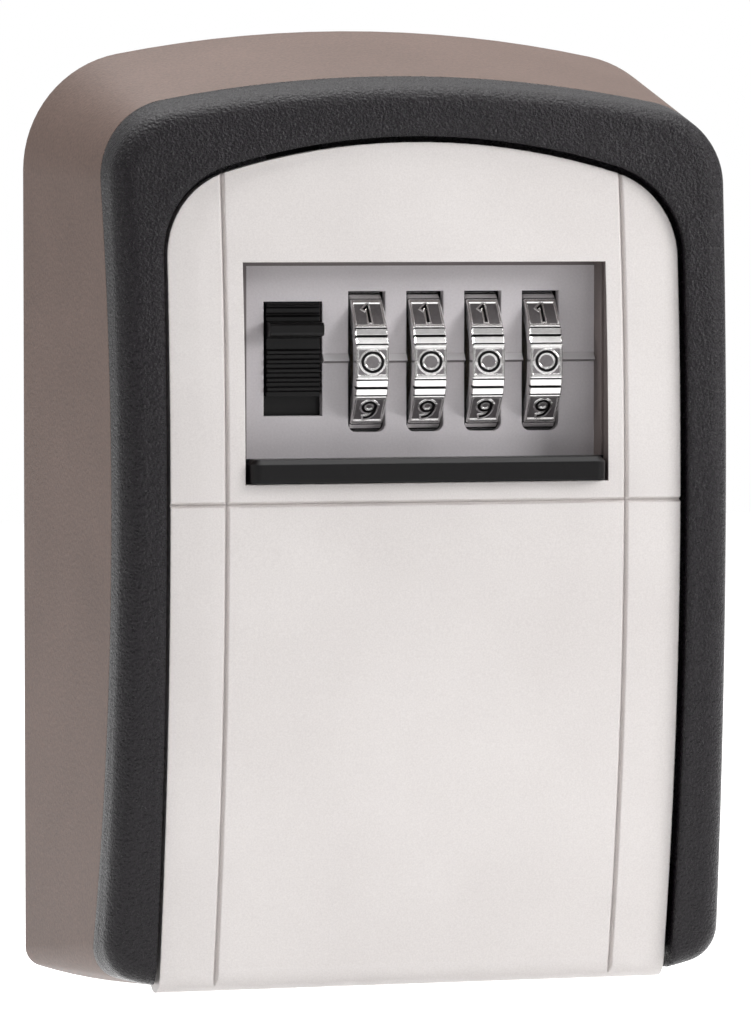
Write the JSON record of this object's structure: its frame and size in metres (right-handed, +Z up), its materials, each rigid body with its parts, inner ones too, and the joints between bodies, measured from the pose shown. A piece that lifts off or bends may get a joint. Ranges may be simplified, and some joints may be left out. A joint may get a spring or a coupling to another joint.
{
  "type": "combination key safe",
  "caption": "Wall-mounted key safe with a bowed hinged door, number wheels behind a sliding shutter, a spring release slider and a key hook inside.",
  "frame": {"origin": "centre of the flat back face that lies against the wall, half way up the casing's height", "axes": "+X to the right seen from the front, the front faces -Y and the wall is at +Y, +Z up"},
  "size_m": [0.084, 0.0347, 0.1177],
  "materials": {
    "rear_casing": "satin metallic paint",
    "front_frame": "fine-textured charcoal",
    "frame_screws": "zinc plated",
    "hinge_pin": "ground",
    "catch_plate": "zinc plated",
    "catch_screws": "zinc plated",
    "key_hook": "zinc plated",
    "hook_screw": "zinc plated",
    "door_plate": "sparkling silver paint",
    "window_plate": "mid-grey satin",
    "lock_housing": "zinc casting",
    "housing_screws": "zinc plated",
    "lock_cover": "black coated",
    "cover_screws": "zinc plated",
    "dial_axle": "ground",
    "detent_spring": "spring steel",
    "push_bush": "turned",
    "release_slider": "satin black",
    "latch_bar": "zinc plated",
    "slider_rivets": "plain",
    "slider_spring": "spring steel",
    "shutter": "satin black",
    "code_lever": "black",
    "number_wheel_1": "satin chrome with black figures",
    "code_sleeve_1": "turned",
    "number_wheel_2": "satin chrome with black figures",
    "code_sleeve_2": "turned",
    "number_wheel_3": "satin chrome with black figures",
    "code_sleeve_3": "turned",
    "number_wheel_4": "satin chrome with black figures",
    "code_sleeve_4": "turned"
  },
  "bodies": {
    "case": {"rear_casing": "rear_casing", "front_frame": "front_frame", "frame_screws": "frame_screws", "hinge_pin": "hinge_pin", "catch_plate": "catch_plate", "catch_screws": "catch_screws", "key_hook": "key_hook", "hook_screw": "hook_screw"},
    "door": {"door_plate": "door_plate", "window_plate": "window_plate", "lock_housing": "lock_housing", "housing_screws": "housing_screws", "lock_cover": "lock_cover", "cover_screws": "cover_screws", "dial_axle": "dial_axle", "detent_spring": "detent_spring"},
    "push_bush": {"push_bush": "push_bush"},
    "slider": {"release_slider": "release_slider", "latch_bar": "latch_bar", "slider_rivets": "slider_rivets", "slider_spring": "slider_spring"},
    "shutter": {"shutter": "shutter"},
    "code_lever": {"code_lever": "code_lever"},
    "wheel_1": {"number_wheel_1": "number_wheel_1"},
    "sleeve_1": {"code_sleeve_1": "code_sleeve_1"},
    "wheel_2": {"number_wheel_2": "number_wheel_2"},
    "sleeve_2": {"code_sleeve_2": "code_sleeve_2"},
    "wheel_3": {"number_wheel_3": "number_wheel_3"},
    "sleeve_3": {"code_sleeve_3": "code_sleeve_3"},
    "wheel_4": {"number_wheel_4": "number_wheel_4"},
    "sleeve_4": {"code_sleeve_4": "code_sleeve_4"}
  },
  "joints": [
    {"name": "door_open", "type": "hinge", "parent": "case", "child": "door", "pos_m": [0, -0.0244, -0.05345], "axis": [1, 0, 0], "range_deg": [0, 100]},
    {"name": "release_slide", "type": "slide", "parent": "door", "child": "slider", "axis": [0, 0, -1], "range_m": [0, 0.0022], "stiffness_N_per_m": 400, "springref_m": -0.002, "deforming": ["slider_spring"]},
    {"name": "shutter_slide", "type": "slide", "parent": "door", "child": "shutter", "axis": [0, 0, 1], "range_m": [0, 0.0231]},
    {"name": "code_lever_slide", "type": "slide", "parent": "door", "child": "code_lever", "axis": [1, 0, 0], "range_m": [0, 0.003]},
    {"name": "push_bush_shift", "type": "slide", "parent": "door", "child": "push_bush", "axis": [1, 0, 0], "range_m": [0, 0.0012]},
    {"name": "wheel_1_spin", "type": "hinge", "parent": "door", "child": "wheel_1", "pos_m": [-0.006, -0.0205, 0.01875], "axis": [1, 0, 0], "continuous": true},
    {"name": "sleeve_1_shift", "type": "slide", "parent": "wheel_1", "child": "sleeve_1", "axis": [1, 0, 0], "range_m": [0, 0.0012]},
    {"name": "wheel_2_spin", "type": "hinge", "parent": "door", "child": "wheel_2", "pos_m": [0.0012, -0.0205, 0.01875], "axis": [1, 0, 0], "continuous": true},
    {"name": "sleeve_2_shift", "type": "slide", "parent": "wheel_2", "child": "sleeve_2", "axis": [1, 0, 0], "range_m": [0, 0.0012]},
    {"name": "wheel_3_spin", "type": "hinge", "parent": "door", "child": "wheel_3", "pos_m": [0.0084, -0.0205, 0.01875], "axis": [1, 0, 0], "continuous": true},
    {"name": "sleeve_3_shift", "type": "slide", "parent": "wheel_3", "child": "sleeve_3", "axis": [1, 0, 0], "range_m": [0, 0.0012]},
    {"name": "wheel_4_spin", "type": "hinge", "parent": "door", "child": "wheel_4", "pos_m": [0.0156, -0.0205, 0.01875], "axis": [1, 0, 0], "continuous": true},
    {"name": "sleeve_4_shift", "type": "slide", "parent": "wheel_4", "child": "sleeve_4", "axis": [1, 0, 0], "range_m": [0, 0.0012]}
  ],
  "couplings": [
    {"joint": "push_bush_shift", "follows": "code_lever_slide", "ratio": 0.4},
    {"joint": "sleeve_1_shift", "follows": "code_lever_slide", "ratio": 0.4},
    {"joint": "sleeve_2_shift", "follows": "code_lever_slide", "ratio": 0.4},
    {"joint": "sleeve_3_shift", "follows": "code_lever_slide", "ratio": 0.4},
    {"joint": "sleeve_4_shift", "follows": "code_lever_slide", "ratio": 0.4}
  ]
}
